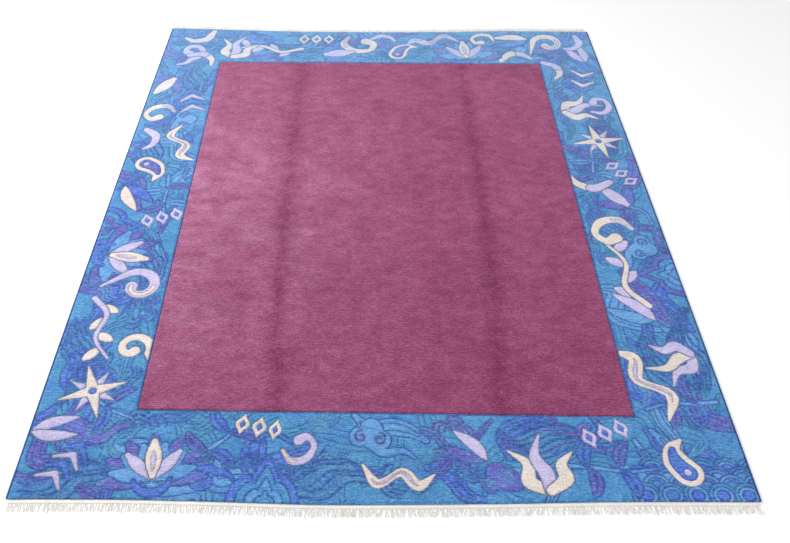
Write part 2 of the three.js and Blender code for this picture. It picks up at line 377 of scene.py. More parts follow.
class Carving:
    """Tone of yarn, depth of cut and step to the nearest outline, at a set of nominal places."""

    TILE = 0.1
    MARGIN = 0.002
    FAR_AWAY = 9.0

    def __init__(self, places):
        self.places = places
        self.tone = np.zeros(len(places), int)
        self.cut = np.zeros(len(places))
        self.near = np.full(len(places), self.FAR_AWAY)
        self.step = np.zeros((len(places), 2))
        tiles = np.floor(places / self.TILE).astype(int)
        order = np.lexsort(tiles.T)
        changes = np.flatnonzero(np.diff(tiles[order], axis=0).any(1)) + 1
        groups = np.split(order, changes)
        self.tiles = {tuple(tiles[group[0]].tolist()): group for group in groups}

    def within(self, low, high):
        """Indices of the places inside a box."""
        first, last = np.floor(np.array([low, high]) / self.TILE).astype(int)
        keys = [(x, y) for x in range(first[0], last[0] + 1) for y in range(first[1], last[1] + 1)]
        groups = [self.tiles[key] for key in keys if key in self.tiles]
        at = np.concatenate(groups) if groups else np.zeros(0, int)
        return at[((self.places[at] > low) & (self.places[at] < high)).all(1)]

    def lay(self, tone, strokes, contour, width):
        """Knots the union of some strokes in one tone, with a contour round it, and carves its outline."""
        margin = width + CUT_HALF_WIDTH + self.MARGIN
        lows = [(path - half[:, None]).min(0) - margin for path, half in strokes]
        highs = [(path + half[:, None]).max(0) + margin for path, half in strokes]
        at = self.within(np.min(lows, 0), np.max(highs, 0))
        if not len(at):
            return
        places = self.places[at]
        value, away = np.full(len(at), self.FAR_AWAY), np.zeros((len(at), 2))
        for (path, half), low, high in zip(strokes, lows, highs):
            own = np.flatnonzero(((places > low) & (places < high)).all(1))
            if len(own):
                found, direction = distance(places[own], path, half)
                closer = found < value[own]
                value[own[closer]], away[own[closer]] = found[closer], direction[closer]
        covered = value < width
        if contour:
            self.tone[at[covered]] = TONES.index(contour)
        if tone:
            self.tone[at[value < 0]] = TONES.index(tone)
        cut = np.clip(1 - np.abs(value - width / 2) / (CUT_HALF_WIDTH + width / 2), 0, 1)
        self.cut[at] = np.where(covered, cut, np.maximum(self.cut[at], cut))
        for level in sorted({0.0, width}):
            gap = value - level
            closer = (np.abs(gap) < self.near[at]) | (covered & (level == 0.0))
            self.near[at] = np.where(closer, np.abs(gap), self.near[at])
            self.step[at] = np.where(closer[:, None], -gap[:, None] * away, self.step[at])


class Side:
    """One side of the border, with its strokes kept in the drawing that all four share."""

    TURNS = {"near": 0, "right": 90, "far": 180, "left": 270}

    def __init__(self, drawing, name):
        crosswise = name in ("near", "far")
        self.drawing = drawing
        self.length = 2 * (HALF_WIDTH if crosswise else HALF_LENGTH)
        self.start = np.array([-self.length / 2, -(HALF_LENGTH if crosswise else HALF_WIDTH)])
        self.turn = self.TURNS[name]


class Spot:
    """A place on a side, along it from its left end and across it from its outer edge, and a turn."""

    def __init__(self, side, at, turn):
        self.side = side
        self.at = np.asarray(at)
        self.turn = turn

    def beside(self, step, turn):
        """Another spot, one step away and turned further."""
        return Spot(self.side, self.at + turned([step], self.turn)[0], turn + self.turn)

    def lay(self, tone, strokes, contour="line", width=None):
        """Adds strokes in one tone to the drawing, light tones with a finer rim of painted shade in place of
        a contour.
        """
        moved = [
            (turned(turned(path, self.turn) + self.at + self.side.start, self.side.turn), half)
            for path, half in strokes
        ]
        if contour and tone in LIGHT_TONES:
            contour, width = "rim", SHADE_RIM_WIDTH
        width = (width or sizes().contour_width) if contour else 0.0
        self.side.drawing.append((tone, moved, contour, width))


# Motifs, all of them common ones of such borders. Each is laid at a spot, in its size and in its
# main and second tones.

def paisley(spot, size, tone, second):
    """A drop with a bent tip, and a smaller drop inside it."""
    path = curve((0, -0.22), (-0.04, 0.02), (0.05, 0.26), (0.28, 0.36)) * size
    spot.lay(tone, [brushed(path, 0.5 * size, 1, 0.9, 0.5, 0.12)])
    spot.lay(second, [brushed(path[:-6], 0.26 * size, 1, 0.8, 0.25)])
    spot.lay("lilac", [disc(0.065 * size, (0, -0.21 * size))], contour=None)


def star(spot, size, tone, second):
    """A star of eight rays, long and short by turns."""
    for dye, reach, first in ((second, 0.38, 45), (tone, 0.5, 0)):
        spoke = np.array([(0, 0), (reach * size, 0)])
        rays = [brushed(turned(spoke, first + 90 * quarter), 0.2 * size, 1, 0.05) for quarter in range(4)]
        spot.lay(dye, rays)
    spot.lay("royal", [disc(0.06 * size)], contour=None)


def lotus(spot, size, tone, second):
    """An open flower of four layers of petals over a bow."""
    spot.lay("violet", petals(size, 7, 0, 180, 0.95, 0.1, 0.34))
    spot.lay("sky", petals(size, 6, 15, 165, 0.78, 0.1, 0.3))
    spot.lay(second, petals(size, 2, 50, 130, 0.76, 0.08, 0.24))
    spot.lay(tone, petals(size, 1, 90, 90, 0.86, 0.08, 0.3))
    spot.lay(second, petals(size, 1, 90, 90, 0.62, 0.2, 0.1), contour=None)
    spot.lay("royal", [swell(arc(size * 0.34, 190, 350, (0, 0.05 * size)), size * 0.18, 0.3)])


def bud(spot, size, tone, second):
    """A closed flower on a bent stem."""
    spot.lay(second, petals(size, 3, -42, 42, 0.8, 0.1, 0.34))
    spot.lay(tone, petals(size, 1, 0, 0, 1, 0.1, 0.38))
    stem = curve((0, 0), (-0.35, -0.12), (-0.8, 0.1), size=size)
    spot.lay("sky", [brushed(stem, 0.014, 1, 0.6)])


def cloud(spot, size, tone, second):
    """Round lobes with a tail, and two curls drawn on them in line."""
    r = size / 2
    tail = curve((0, -0.2), (0.7, -0.55), (1.5, -0.35), (2.1, -0.6), size=r)
    lobes = [disc(0.42 * r, (-0.5 * r, 0)), disc(0.42 * r, (0.5 * r, 0)), disc(0.5 * r, (0, 0.42 * r))]
    spot.lay(tone, [*lobes, disc(0.4 * r), brushed(tail, r, 0.5, 0.1)])
    for way in (-1, 1):
        curl = spiral(0.3 * r, 0.08 * r, 90, -way * 400, 22) + np.array([way * 0.42 * r, 0.02 * r])
        spot.lay(None, [thread(curl)], contour=second, width=0.004)


def cloud_lines(spot, size, tone, second):
    """A cloud drawn in lines only, one inside the other."""
    for share in (1.0, 0.72, 0.44):
        r = share * size / 2
        lobes = [
            arc(0.4 * r, 160, -20, (0.62 * r, 0)),
            arc(0.46 * r, 150, 30, (0, 0.34 * r)),
            arc(0.4 * r, 200, 20, (-0.62 * r, 0)),
        ]
        spot.lay(None, [thread(lobe) for lobe in lobes], contour=tone, width=0.0045)


def scroll(spot, size, tone, second):
    """A stroke that runs in straight and winds up."""
    r = size / 2
    coil = spiral(r, 0.3 * r, 200, -320)
    reach = (coil[0] - coil[1]) / np.linalg.norm(coil[0] - coil[1])
    lead = coil[0] + reach * r * np.linspace(1.1, 0.15, 5)[:, None]
    path = np.vstack([lead, coil])
    spot.lay(tone, [brushed(path, 0.24 * size, 0.25, 0.8, 1, 0.9, 0.8, 1.1)])
    if second:
        spot.lay(second, [even(path[16:], 0.09 * size)], contour=None)


def mirrored_scroll(spot, size, tone, second):
    """A stroke that swings in on a bend and winds up the other way."""
    r = size / 2
    coil = spiral(r, 0.26 * r, -20, 330)
    lead = curve(coil[0] + (0.1 * r, -1.2 * r), coil[0] + (0.25 * r, -0.6 * r), coil[0], steps=4)
    path = np.vstack([lead[:-1], coil])
    spot.lay(tone, [brushed(path, 0.24 * size, 0.3, 0.9, 1, 0.8, 0.9, 1.2)])


def leaf(spot, size, tone, second):
    """A bent leaf with a vein drawn in line."""
    path = curve((-size / 2, 0), (-size / 6, 0.11 * size), (size / 6, 0.11 * size), (size / 2, 0))
    spot.lay(tone, [swell(path, size * 0.36, 0.1)])
    spot.lay(None, [thread(path[2:-3])], contour=second, width=0.003)


def twin_leaf(spot, size, tone, second):
    """Two leaves that part from one root."""
    for dye, way in ((second or tone, 1), (tone, -1)):
        spine = curve((-0.5, 0), (-0.1, 0.17 * way), (0.5, 0.24 * way)) * size
        spot.lay(dye, [swell(spine, 0.28 * size, 0.1)])


def leaf_spray(spot, size, tone, second):
    """Four leaves, two on either side of a bent stem."""
    stem = curve((-0.5, -0.22), (-0.16, -0.06), (0.2, 0.08), (0.5, 0.3), size=size)
    spot.lay("sky", [brushed(stem, 0.015, 1, 0.5)])
    for x, y, angle, dye in (
        (-0.28, 0.1, 110, tone), (-0.08, -0.26, -60, second),
        (0.1, 0.3, 100, second), (0.3, -0.06, -40, tone),
    ):
        leaf(spot.beside((x * size, y * size), angle), 0.4 * size, dye, "line")


def comma(spot, size, tone, second):
    """A short bent stroke with a full head."""
    path = curve((-0.5, -0.16), (-0.12, 0.14), (0.3, 0.05), (0.5, -0.24), size=size)
    weight = 0.23 * size
    spot.lay(tone, [brushed(path, weight, 0.8, 1.25, 1, 0.8, 0.4)])
    if second:
        spot.lay(second, [brushed(path[:8], weight, 0.8, 1.2)])


def hook(spot, size, tone, second):
    """A full stroke that bends back on itself and ends in a drop."""
    bends = ((-0.5, 0.2), (-0.42, -0.2), (0, -0.34), (0.36, -0.12), (0.3, 0.22), (0.04, 0.24))
    path = curve(*bends, size=size)
    spot.lay(tone, [brushed(path, 0.2 * size, 0.5, 1, 1.1, 0.8, 1, 1.5)])
    if second:
        spot.lay(second, [even(path[:9], 0.075 * size)], contour=None)


def ribbon(spot, size, tone, second):
    """A waving stroke, wide and narrow by turns."""
    path = curve((-0.5, 0.1), (-0.25, -0.12), (0.05, 0.09), (0.3, -0.05), (0.5, 0.14), size=size)
    spot.lay(tone, [brushed(path, 0.15 * size, 0.2, 0.9, 0.6, 1.1, 0.9, 0.15)])
    if second:
        spot.lay(second, [brushed(path[4:-6], 0.05 * size, 0.1, 0.8, 0.4, 1, 0.2)], contour=None)


def flame(spot, size, tone, second):
    """Three tongues that rise from one root."""
    tongues = (
        ((0, 0), (-0.24, 0.2), (-0.2, 0.5), (-0.44, 0.78)),
        ((0.02, 0), (0.04, 0.3), (-0.06, 0.62), (0.1, 1.0)),
        ((0.04, 0), (0.3, 0.16), (0.3, 0.42), (0.52, 0.62)),
    )
    for dye, points in zip((tone, second, tone), tongues):
        spot.lay(dye, [brushed(curve(*points, size=size), 0.23 * size, 0.7, 1, 0.7, 0.1)])


def chevrons(spot, size, tone, second):
    """Four bent bars, one over the other, in two tones."""
    for row in range(4):
        bar = np.array([(-0.36, -0.6), (0, -0.34), (0.36, -0.6)]) + (0, 0.29 * row)
        spot.lay((tone, second)[row % 2], [brushed(bar * size, 0.15 * size, 0.4, 1, 0.4)])


def lozenges(spot, size, tone, second):
    """Three small diamonds in a row, each with a smaller one inside it."""
    for index in (-1, 0, 1):
        for dye, share in ((tone, 1), (second, 0.42)):
            upright = np.array([(0, -0.26), (0, 0), (0, 0.26)]) * share + (0.36 * index, 0)
            spot.lay(dye, [brushed(upright * size, 0.3 * share * size, 0.04, 1, 0.04)], contour=None)


def vine(spot, size, tone, second):
    """A bent stem with a leaf on either side by turns."""
    stem = curve((-0.5, -0.08), (-0.2, 0.07), (0.15, -0.06), (0.5, 0.08)) * size
    for joint, way in ((3, 1), (7, -1), (11, 1), (15, -1)):
        spine = stem[joint] + turned(np.linspace((0, 0), (0.24 * size, 0), 7), 52 * way)
        spot.lay(second, [swell(spine, 0.12 * size, 0.1)])
    spot.lay(tone, [brushed(stem, 0.07 * size, 1, 0.8, 0.4)])


def mountain(spot, size, tone, second):
    """Nested triple peaks that rise from the outer edge."""
    for share, dye in ((1.0, tone), (0.76, "teal"), (0.52, second), (0.28, "teal")):
        w, h = 0.5 * size * share, 0.8 * size * share
        peaks = [
            brushed(np.linspace((x * w, 0), (x * w * 0.9, y * h), 7), w, 1, 0.95, 0.8, 0.5, 0.08)
            for x, y in ((-0.62, 0.56), (0, 1), (0.62, 0.56))
        ]
        spot.lay(dye, peaks)


def water(spot, size, tone, second):
    """Long waves, line upon line."""
    rows, pitch = 7, 0.0155
    x = np.linspace(-0.5, 0.5, 25)
    for row in range(rows):
        swing = 0.07 * size * np.sin(7 * x + 0.35 * row) + 0.02 * size * np.sin(17 * x + row)
        path = np.stack([x * size * (1 - 0.05 * (row % 3)), (row - rows / 2) * pitch + swing], 1)
        spot.lay(None, [thread(path)], contour=(tone, second)[row % 3 == 1], width=0.004)


def wave_scales(spot, size, tone, second):
    """Rising scales of nested rounds, the lowest row in front."""
    for row in reversed(range(4)):
        for column in range(-2, 3):
            middle = spot.beside(((column + 0.5 * (row % 2)) * 0.5 * size, row * size * 0.2), 0)
            for ring, share in enumerate((0.27, 0.19, 0.11)):
                middle.lay(("teal", tone, second)[(ring + row) % 3], [disc(size * share)])


# Rows: motif, place along the side, place across it from the outer edge, size, turn in degrees,
# main tone, second tone
LAYOUT = {
    "near": (
        (water, 1.06, 0.10, 0.40, 4, "line", "sky"),
        (water, 1.88, 0.24, 0.42, -8, "line", "violet"),
        (water, 0.20, 0.08, 0.36, 12, "line", "sky"),
        (mountain, 0.80, -0.01, 0.22, 0, "royal", "sky"),
        (wave_scales, 2.30, 0.02, 0.17, 0, "sky", "royal"),
        (cloud_lines, 0.36, 0.27, 0.18, 12, "line", "line"),
        (cloud, 0.17, 0.23, 0.17, 30, "violet", "sky"),
        (leaf_spray, 0.64, 0.22, 0.26, 24, "violet", "royal"),
        (cloud, 1.18, 0.24, 0.17, -8, "sky", "violet"),
        (cloud, 1.66, 0.08, 0.15, 20, "violet", "sky"),
        (leaf_spray, 2.02, 0.12, 0.28, -30, "royal", "violet"),
        (mirrored_scroll, 0.60, 0.07, 0.10, 60, "royal", None),
        (scroll, 1.98, 0.28, 0.10, 200, "violet", None),
        (cloud_lines, 1.50, 0.27, 0.16, -10, "violet", "line"),
        (lotus, 0.44, 0.07, 0.17, 6, "cream", "lilac"),
        (hook, 0.92, 0.20, 0.13, 30, "lilac", "cream"),
        (ribbon, 1.28, 0.09, 0.27, -10, "cream", "lilac"),
        (twin_leaf, 1.55, 0.20, 0.16, 150, "lilac", "violet"),
        (flame, 1.82, 0.04, 0.22, 8, "cream", "lilac"),
        (lozenges, 0.76, 0.28, 0.16, -10, "cream", "royal"),
        (paisley, 2.27, 0.15, 0.21, 24, "cream", "royal"),
        (lozenges, 2.04, 0.27, 0.17, 20, "lilac", "royal"),
        (chevrons, 0.15, 0.13, 0.14, -30, "lilac", "royal"),
    ),
    "right": (
        (water, 0.62, 0.20, 0.44, 6, "line", "royal"),
        (water, 0.66, 0.08, 0.40, -4, "line", "line"),
        (mountain, 1.04, -0.01, 0.22, 0, "violet", "sky"),
        (water, 1.36, 0.26, 0.36, 10, "royal", "line"),
        (water, 2.06, 0.12, 0.44, -6, "line", "violet"),
        (cloud, 1.20, 0.12, 0.16, 160, "sky", "royal"),
        (leaf_spray, 1.74, 0.22, 0.28, 150, "violet", "sky"),
        (cloud_lines, 2.36, 0.24, 0.18, 30, "violet", "line"),
        (leaf_spray, 0.40, 0.16, 0.24, 70, "royal", "violet"),
        (ribbon, 0.50, 0.26, 0.34, 24, "cream", "lilac"),
        (flame, 0.62, 0.06, 0.20, 24, "lilac", "cream"),
        (twin_leaf, 0.84, 0.24, 0.19, 60, "lilac", "sky"),
        (vine, 1.05, 0.22, 0.38, 8, "cream", "lilac"),
        (hook, 1.30, 0.23, 0.19, 120, "cream", "lilac"),
        (bud, 1.46, 0.10, 0.17, 40, "lilac", "violet"),
        (comma, 1.62, 0.26, 0.19, 80, "cream", "lilac"),
        (lozenges, 1.70, 0.09, 0.18, 30, "lilac", "royal"),
        (star, 1.95, 0.15, 0.27, 10, "cream", "lilac"),
        (flame, 2.20, 0.28, 0.22, 200, "cream", "lilac"),
        (hook, 2.26, 0.08, 0.15, -20, "lilac", None),
        (chevrons, 2.48, 0.13, 0.17, 80, "cream", "royal"),
        (comma, 2.60, 0.27, 0.17, 200, "cream", "lilac"),
        (twin_leaf, 2.76, 0.10, 0.17, 20, "lilac", None),
    ),
    "far": (
        (water, 0.70, 0.16, 0.44, 0, "sky", "line"),
        (water, 1.70, 0.18, 0.44, 4, "line", "sky"),
        (mountain, 1.28, -0.01, 0.22, 0, "royal", "sky"),
        (cloud, 0.44, 0.24, 0.15, 170, "sky", "violet"),
        (cloud, 2.00, 0.12, 0.15, 200, "royal", "sky"),
        (leaf_spray, 1.52, 0.18, 0.24, 160, "violet", "royal"),
        (wave_scales, 2.30, 0.04, 0.17, 0, "sky", "royal"),
        (scroll, 0.26, 0.14, 0.19, 160, "cream", "lilac"),
        (comma, 0.10, 0.14, 0.16, 60, "lilac", None),
        (twin_leaf, 0.48, 0.11, 0.20, 10, "cream", "royal"),
        (comma, 0.48, 0.27, 0.18, 190, "lilac", "cream"),
        (lotus, 0.76, 0.29, 0.20, 185, "cream", "lilac"),
        (hook, 0.66, 0.09, 0.14, 10, "cream", None),
        (ribbon, 0.96, 0.10, 0.32, 8, "lilac", "cream"),
        (paisley, 1.14, 0.21, 0.21, 150, "cream", "violet"),
        (hook, 1.38, 0.15, 0.21, 150, "cream", "lilac"),
        (bud, 1.60, 0.26, 0.18, 190, "lilac", "royal"),
        (lozenges, 1.64, 0.09, 0.20, 0, "cream", "royal"),
        (vine, 1.90, 0.20, 0.36, -8, "cream", "lilac"),
        (flame, 2.10, 0.29, 0.22, 170, "cream", "lilac"),
        (comma, 2.30, 0.10, 0.18, 30, "cream", None),
        (mirrored_scroll, 2.34, 0.24, 0.16, 120, "lilac", None),
        (comma, 1.24, 0.07, 0.14, 170, "lilac", None),
    ),
    "left": (
        (water, 0.60, 0.24, 0.42, 4, "line", "sky"),
        (water, 1.26, 0.10, 0.42, -8, "line", "royal"),
        (water, 1.98, 0.26, 0.40, 0, "line", "violet"),
        (mountain, 1.70, -0.01, 0.22, 0, "royal", "violet"),
        (water, 2.44, 0.10, 0.42, 6, "line", "line"),
        (cloud, 0.90, 0.22, 0.16, 10, "sky", "violet"),
        (cloud_lines, 2.20, 0.26, 0.18, -20, "line", "line"),
        (leaf_spray, 1.50, 0.24, 0.28, -20, "violet", "sky"),
        (leaf_spray, 2.62, 0.20, 0.26, 30, "royal", "violet"),
        (comma, 0.30, 0.24, 0.17, 60, "cream", "lilac"),
        (bud, 0.50, 0.12, 0.18, -30, "cream", "violet"),
        (chevrons, 0.72, 0.24, 0.17, 100, "lilac", "royal"),
        (hook, 0.84, 0.08, 0.16, -60, "cream", "lilac"),
        (ribbon, 1.10, 0.24, 0.30, 18, "cream", "lilac"),
        (comma, 1.06, 0.09, 0.16, 10, "lilac", None),
        (paisley, 1.29, 0.14, 0.21, -40, "cream", "violet"),
        (twin_leaf, 1.50, 0.10, 0.18, 40, "cream", "royal"),
        (lozenges, 1.64, 0.25, 0.18, -70, "lilac", "royal"),
        (lotus, 1.88, 0.07, 0.19, -8, "cream", "lilac"),
        (scroll, 2.06, 0.23, 0.18, 30, "lilac", "cream"),
        (vine, 2.28, 0.13, 0.32, 12, "lilac", "cream"),
        (mirrored_scroll, 2.38, 0.27, 0.14, 90, "cream", None),
        (star, 2.58, 0.17, 0.24, 20, "cream", "lilac"),
        (twin_leaf, 2.74, 0.08, 0.15, 100, "lilac", None),
    ),
}
GROUND_TONES = ("teal", "sky", "teal", "royal", "teal", "teal", "violet")
GROUND_STEP = 0.2
GROUND_ROWS = (0.07, 0.18, 0.29)
WAVES_STEP = 0.14
WAVES_PITCH = 0.016
# Line of yarn laid round the field, just outside it
OUTLINE_OFFSET = 0.003
OUTLINE_WIDTH = 0.007
PATTERN_SEED = 11


def flowing_ground(side, rng):
    """Long bands of the ground, in tones close to it, one line inside the other."""
    for index in range(int(side.length / GROUND_STEP)):
        for v in GROUND_ROWS:
            size, turn = rng.uniform(0.18, 0.4), rng.uniform(-55, 55)
            bends = [rng.uniform(-0.06, 0.06) for _ in range(5)]
            path = curve(*[(size * (k / 4 - 0.5), bend) for k, bend in enumerate(bends)])
            at = ((index + rng.uniform(0.1, 0.9)) * GROUND_STEP, v + rng.uniform(-0.03, 0.03))
            tone, width = rng.choice(GROUND_TONES), rng.uniform(0.035, 0.085)
            contour = None if tone == "teal" else "line"
            spot = Spot(side, at, turn)
            spot.lay(tone, [swell(path, width, 0.3)], contour)
            spot.lay(tone, [swell(path[3:-3], 0.4 * width, 0.3)], contour, width=0.004)


def small_waves(side, rng):
    """Short waves in groups of two to four lines, strewn over the ground."""
    for _ in range(int(side.length / WAVES_STEP)):
        at = (rng.uniform(0.05, side.length - 0.3), rng.uniform(0.04, BORDER - 0.04))
        size, turn, rows = rng.uniform(0.08, 0.18), rng.uniform(-40, 40), rng.choice((2, 3, 4))
        tone = rng.choice(("line", "line", "royal", "violet", "sky"))
        for row in range(rows):
            y = (row - (rows - 1) / 2) * WAVES_PITCH
            path = curve((-size / 2, y), (-size / 5, y + 0.014), (size / 5, y - 0.005), (size / 2, y + 0.01))
            Spot(side, at, turn).lay(None, [thread(path)], contour=tone, width=0.0035)


def draw_border():
    """Every stroke of the border, in the order in which it is laid."""
    drawing = []
    rng = random.Random(PATTERN_SEED)
    sides = [Side(drawing, name) for name in LAYOUT]
    for side in sides:
        flowing_ground(side, rng)
    for side in sides:
        small_waves(side, rng)
    for side, rows in zip(sides, LAYOUT.values()):
        for motif, along, across, size, turn, *tones in rows:
            motif(Spot(side, (along, across), turn), size, *tones)
    half = (FIELD_HALF_WIDTH + OUTLINE_OFFSET, FIELD_HALF_LENGTH + OUTLINE_OFFSET)
    edge = np.array([(-1, -1), (1, -1), (1, 1), (-1, 1), (-1, -1)]) * half
    drawing.append(("line", [even(edge, OUTLINE_WIDTH)], None, 0.0))
    return drawing


def carve(places, drawing):
    """The drawing at some nominal places, the same wherever it is asked for."""
    carving = Carving(places)
    for step in drawing:
        carving.lay(*step)
    return carving


# Meshes

# A point of the border's mesh is drawn onto an outline that is nearer than this share of a cell
SNAP_SHARE = 0.5
# Power that makes a cut steeper towards its bottom
CUT_SHAPE = 1.3
# The back stays this far inside the pile's walls and below its base
BACK_INSET = 0.0001
# Lines of the field's mesh next to its edge, from the edge inwards
FIELD_EDGE = np.array([0, 0.002, 0.0045, 0.008])


def shown(name, data):
    """A new object that holds some data, in the scene."""
    holder = bpy.data.objects.new(name, data)
    bpy.context.scene.collection.objects.link(holder)
    return holder


def piece_from(name, points, faces, material, nodes, smooth_angle=60):
    """A closed piece in the row frame that rides on the rug and stands for CAD nodes."""
    mesh = bpy.data.meshes.new(name)
    mesh.from_pydata(points.tolist(), [], faces)
    mesh.materials.append(material)
    mesh.shade_smooth()
    mesh.set_sharp_from_angle(angle=math.radians(smooth_angle))
    piece = shown(name, mesh)
    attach(piece, "root")
    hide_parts(*nodes)
    return piece


def slab_faces(rows, columns, upwards=True, falling=None):
    """Faces of a closed slab whose one side is a grid and whose other side is one polygon round the rim.

    Where falling is given, every cell is cut in two, along its falling or its rising diagonal.
    """
    grid = np.arange(rows * columns).reshape(rows, columns)
    corners = (grid[:-1, :-1], grid[:-1, 1:], grid[1:, 1:], grid[1:, :-1])
    a, b, c, d = (corner.ravel() for corner in corners)
    if falling is None:
        cells = np.stack([a, b, c, d], -1)
    else:
        first = np.stack([a, b, np.where(falling, d, c)], -1)
        second = np.stack([np.where(falling, b, a), c, d], -1)
        cells = np.stack([first, second], 1).reshape(-1, 3)
    rim = np.concatenate([grid[0, :-1], grid[:-1, -1], grid[-1, :0:-1], grid[:0:-1, 0]])
    order = np.arange(len(a)).reshape(rows - 1, columns - 1) * (len(cells) // len(a))
    beside = np.concatenate([order[0], order[:, -1], order[-1, ::-1], order[::-1, 0]])
    other = rows * columns + np.arange(len(rim))
    walls = np.stack([other, np.roll(other, -1), np.roll(rim, -1), rim], 1)
    if upwards:
        faces = [*cells.tolist(), *walls.tolist(), other[::-1].tolist()]
    else:
        faces = [*cells[:, ::-1].tolist(), *walls[:, ::-1].tolist(), other.tolist()]
    return faces, rim, beside


def colour_faces(mesh, tones):
    """Gives every corner of a face the colour of the face's yarn."""
    palette = np.array([(*getattr(yarns(), tone), 1.0) for tone in TONES], np.float32)
    counts = np.empty(len(mesh.polygons), int)
    mesh.polygons.foreach_get("loop_total", counts)
    layer = mesh.color_attributes.new("yarn", "FLOAT_COLOR", "CORNER")
    layer.data.foreach_set("color", np.repeat(palette[tones], counts, axis=0).ravel())


def note(mesh, name, domain, values):
    """Keeps a number for every point or face, for the finishes to read."""
    mesh.attributes.new(name, "FLOAT", domain).data.foreach_set("value", np.asarray(values, np.float32))


def grid_places(across, along):
    x, y = np.meshgrid(across, along)
    return np.stack([x.ravel(), y.ravel()], 1)


def rim_mask(rows, columns):
    inner = np.zeros((rows, columns), bool)
    inner[1:-1, 1:-1] = True
    return ~inner.ravel()


def cell_centres(places, rows, columns):
    p = places.reshape(rows, columns, 2)
    return ((p[:-1, :-1] + p[:-1, 1:] + p[1:, 1:] + p[1:, :-1]) / 4).reshape(-1, 2)


def slab_points(places, heights, rim, rim_height):
    """Points of a slab: its grid at the given heights, then its rim again at one height."""
    grid = on_floor(places)
    opposite = np.column_stack([grid[rim], np.full(len(rim), rim_height)])
    return np.vstack([np.column_stack([grid, heights]), opposite])


def border_pile(name, across, along, drawing):
    """One side of the carved border, its mesh drawn to the edges of the motifs."""
    places = grid_places(across, along)
    rows, columns = len(along), len(across)
    loose = carve(places, drawing)
    cell = BORDER / sizes().border_cells
    drawn = (loose.near < SNAP_SHARE * cell) & ~rim_mask(rows, columns)
    places = places + np.where(drawn[:, None], loose.step, 0)
    on_edge = drawn.reshape(rows, columns)
    falling = (on_edge[:-1, 1:] & on_edge[1:, :-1]).ravel()
    faces, rim, beside = slab_faces(rows, columns, falling=falling)
    halves = np.array(faces[:2 * len(falling)])
    carving = carve(np.vstack([places, places[halves].mean(1)]), drawing)
    cut, tones = carving.cut[:len(places)], carving.tone[len(places):]
    top = pile_top(places) - sizes().carving_depth * cut ** CUT_SHAPE
    points = slab_points(places, top, rim, sizes().back_thickness)
    piece = piece_from(name, points, faces, finishes["border"], ["rug"])
    colour_faces(piece.data, np.concatenate([tones, tones[beside], [0]]))
    # Depth of cut at each point, which also sets where the border's finish lays its painted shade
    note(piece.data, "cut", "POINT", np.concatenate([cut, cut[rim]]))


def field_lines(half):
    """Where the lines of the field's mesh lie, from one edge to the other."""
    count = round(2 * half / sizes().field_cell) + 1
    middle = np.linspace(-half + FIELD_EDGE[-1], half - FIELD_EDGE[-1], count)
    return np.concatenate([FIELD_EDGE[:-1] - half, middle, half - FIELD_EDGE[-2::-1]])


def field_pile():
    """The plain field with its two soft creases."""
    across, along = field_lines(FIELD_HALF_WIDTH), field_lines(FIELD_HALF_LENGTH)
    places = grid_places(across, along)
    faces, rim, _ = slab_faces(len(along), len(across))
    points = slab_points(places, pile_top(places), rim, sizes().back_thickness)
    piece = piece_from("field_pile", points, faces, finishes["field"], ["rug"])
    # How strongly the painted shade of the creases darkens the field, kept for its finish
    crease_shade = crease_rise(places[:, 0], places[:, 1])[1]
    note(piece.data, "crease", "POINT", np.concatenate([crease_shade, crease_shade[rim]]))


def woven_back():
    """The foundation under the pile, where the pattern shows as knots."""
    across, along = (
        np.linspace(-half + BACK_INSET, half - BACK_INSET, round(2 * half / sizes().back_cell))
        for half in (HALF_WIDTH, HALF_LENGTH)
    )
    places = grid_places(across, along)
    faces, rim, beside = slab_faces(len(along), len(across), upwards=False)
    points = slab_points(places, np.zeros(len(places)), rim, sizes().back_thickness - BACK_INSET)
    piece = piece_from("woven_back", points, faces, finishes["back"], ["rug"])
    centres = cell_centres(places, len(along), len(across))
    tones = carve(centres, draw_border()).tone
    in_field = (np.abs(centres) < (FIELD_HALF_WIDTH, FIELD_HALF_LENGTH)).all(1)
    colour_faces(piece.data, np.concatenate([tones, tones[beside], [0]]))
    note(piece.data, "plain", "FACE", np.concatenate([in_field, in_field[beside], [False]]))
    return piece


def loft(rings):
    """Points and faces of a closed body through rings that match in number."""
    count, sides = len(rings), len(rings[0])
    index = np.arange(count * sides).reshape(count, sides)
    turned_index = np.roll(index, -1, 1)
    quads = np.stack([index[:-1], turned_index[:-1], turned_index[1:], index[1:]], -1).reshape(-1, 4)
    faces = [*quads.tolist(), index[0, ::-1].tolist(), index[-1].tolist()]
    return np.asarray(rings).reshape(-1, 3), faces


# Turns of the overcasting: their pitch, how far the cord draws in between two of them and swells
# at one, and how far a turn leans for its height
TURN_PITCH = 0.0042
TURN_DIP = 0.0011
TURN_SWELL = 0.0003
TURN_SLANT = 0.25
CORD_RADIUS = 0.0042
CORD_LIFT = 0.0001
CORD_SEED = 5


